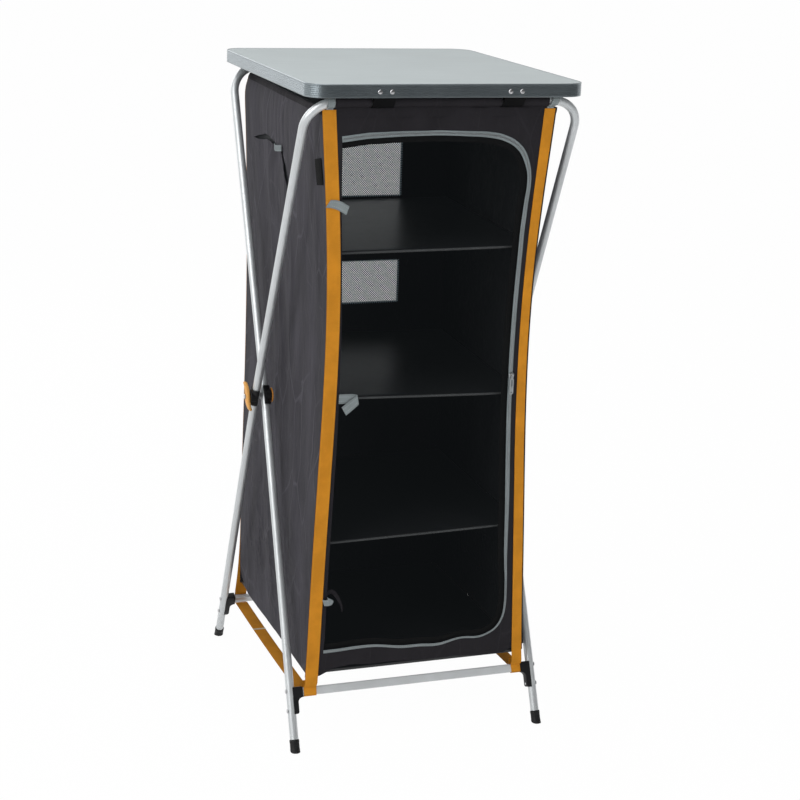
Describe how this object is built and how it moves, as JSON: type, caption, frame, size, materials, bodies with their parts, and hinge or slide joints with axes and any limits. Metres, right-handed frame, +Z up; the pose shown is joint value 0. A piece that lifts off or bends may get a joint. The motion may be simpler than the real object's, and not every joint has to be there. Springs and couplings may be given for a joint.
{
  "type": "fabric camp kitchen cupboard",
  "caption": "Folding camp cupboard: a zip-fronted fabric larder with shelves and mesh windows, hung between crossed tube frames under a rectangular tabletop.",
  "frame": {"origin": "on the floor, under the middle of the tabletop", "axes": "+Z up, +X to the right of someone facing the door, -Y towards that person"},
  "size_m": [0.5818, 0.6038, 1.2585],
  "materials": {
    "top_laminate": "grey laminate, satin",
    "rim_aluminium": "satin anodised",
    "tube_aluminium": "pale grey, gloss",
    "bar_aluminium": "satin",
    "black_plastic": "moulded, matt",
    "cap_plastic": "soft plastic, matt",
    "steel": "bright",
    "orange_plastic": "moulded, glossy",
    "front_fabric": "woven polyester, matt",
    "side_fabric": "woven polyester, matt",
    "lining_fabric": "woven polyester, matt",
    "shelf_board": "fabric-covered board, matt",
    "window_mesh": "fine mesh",
    "orange_webbing": "woven webbing",
    "grey_webbing": "woven webbing",
    "zip_metal": "cast, grey",
    "black_fabric": "plain woven tag"
  },
  "bodies": {
    "fabric_body": {"front_panel": "front_fabric", "back_panel": "side_fabric", "left_panel": "side_fabric", "right_panel": "side_fabric", "roof_panel": "lining_fabric", "floor_panel": "shelf_board", "shelf_upper": "shelf_board", "shelf_middle": "shelf_board", "shelf_lower": "shelf_board", "mesh_window_upper": "window_mesh", "mesh_window_lower": "window_mesh", "front_strap_left": "orange_webbing", "front_strap_right": "orange_webbing", "rear_strap_left": "orange_webbing", "rear_strap_right": "orange_webbing", "bottom_strap_left": "orange_webbing", "bottom_strap_right": "orange_webbing", "front_loop_left": "grey_webbing", "front_loop_right": "grey_webbing", "rear_loop_left": "grey_webbing", "rear_loop_right": "grey_webbing", "front_sleeve": "front_fabric", "rear_sleeve": "front_fabric", "zip_tape": "grey_webbing", "rolled_door": "front_fabric", "door_tie_upper": "grey_webbing", "door_tie_middle": "grey_webbing", "door_tie_lower": "grey_webbing", "vent_tab": "grey_webbing", "side_tag": "black_fabric"},
    "frame_a": {"frame_a_tube": "tube_aluminium", "foot_cap_rear_left": "cap_plastic", "foot_cap_rear_right": "cap_plastic", "rear_bracket_left": "black_plastic", "rear_bracket_right": "black_plastic", "rear_crossbar": "bar_aluminium", "hub_outer_saddle_left": "black_plastic", "hub_outer_saddle_right": "black_plastic", "hub_pin_left": "steel", "hub_pin_right": "steel"},
    "frame_b": {"frame_b_tube": "tube_aluminium", "foot_cap_front_left": "cap_plastic", "foot_cap_front_right": "cap_plastic", "front_bracket_left": "black_plastic", "front_bracket_right": "black_plastic", "front_crossbar": "bar_aluminium", "hub_inner_saddle_left": "black_plastic", "hub_inner_saddle_right": "black_plastic", "hub_ring_left": "orange_plastic", "hub_ring_right": "orange_plastic"},
    "tabletop": {"top_panel": "top_laminate", "top_edge_frame": "rim_aluminium", "front_hinge_left": "black_plastic", "front_hinge_right": "black_plastic", "rear_hook_left": "black_plastic", "rear_hook_right": "black_plastic"},
    "left_wing": {"lock_wing_left": "orange_plastic"},
    "right_wing": {"lock_wing_right": "orange_plastic"},
    "slider": {"zip_slider": "zip_metal"},
    "pull": {"zip_pull": "zip_metal"}
  },
  "joints": [
    {"name": "frame_fold", "type": "hinge", "parent": "fabric_body", "child": "frame_a", "pos_m": [0, -0.00046, 0.62383], "axis": [-1, 0, 0], "range_deg": [0, 20], "deforming": ["front_sleeve", "rear_sleeve", "front_loop_left", "front_loop_right", "rear_loop_left", "rear_loop_right", "front_strap_left", "front_strap_right", "rear_strap_left", "rear_strap_right", "bottom_strap_left", "bottom_strap_right"]},
    {"name": "frame_b_fold", "type": "hinge", "parent": "fabric_body", "child": "frame_b", "pos_m": [0, -0.00046, 0.62383], "axis": [-1, 0, 0], "range_deg": [-20, 0]},
    {"name": "tabletop_lift", "type": "hinge", "parent": "frame_a", "child": "tabletop", "pos_m": [0, -0.279, 1.2262], "axis": [1, 0, 0], "range_deg": [0, 100]},
    {"name": "left_wing_turn", "type": "hinge", "parent": "frame_a", "child": "left_wing", "pos_m": [-0.2785, -0.00046, 0.62383], "axis": [1, 0, 0], "range_deg": [0, 90]},
    {"name": "right_wing_turn", "type": "hinge", "parent": "frame_a", "child": "right_wing", "pos_m": [0.2785, -0.00046, 0.62383], "axis": [1, 0, 0], "range_deg": [0, 90]},
    {"name": "zip_slide", "type": "slide", "parent": "fabric_body", "child": "slider", "axis": [0, -0.0323, 0.9995], "range_m": [-0.25, 0.22]},
    {"name": "zip_pull_swing", "type": "hinge", "parent": "slider", "child": "pull", "pos_m": [0.1586, -0.2675, 0.7117], "axis": [-1, 0, 0], "range_deg": [0, 150]}
  ],
  "couplings": [
    {"joint": "frame_b_fold", "follows": "frame_fold", "ratio": -1},
    {"joint": "tabletop_lift", "follows": "frame_fold", "ratio": 5}
  ]
}
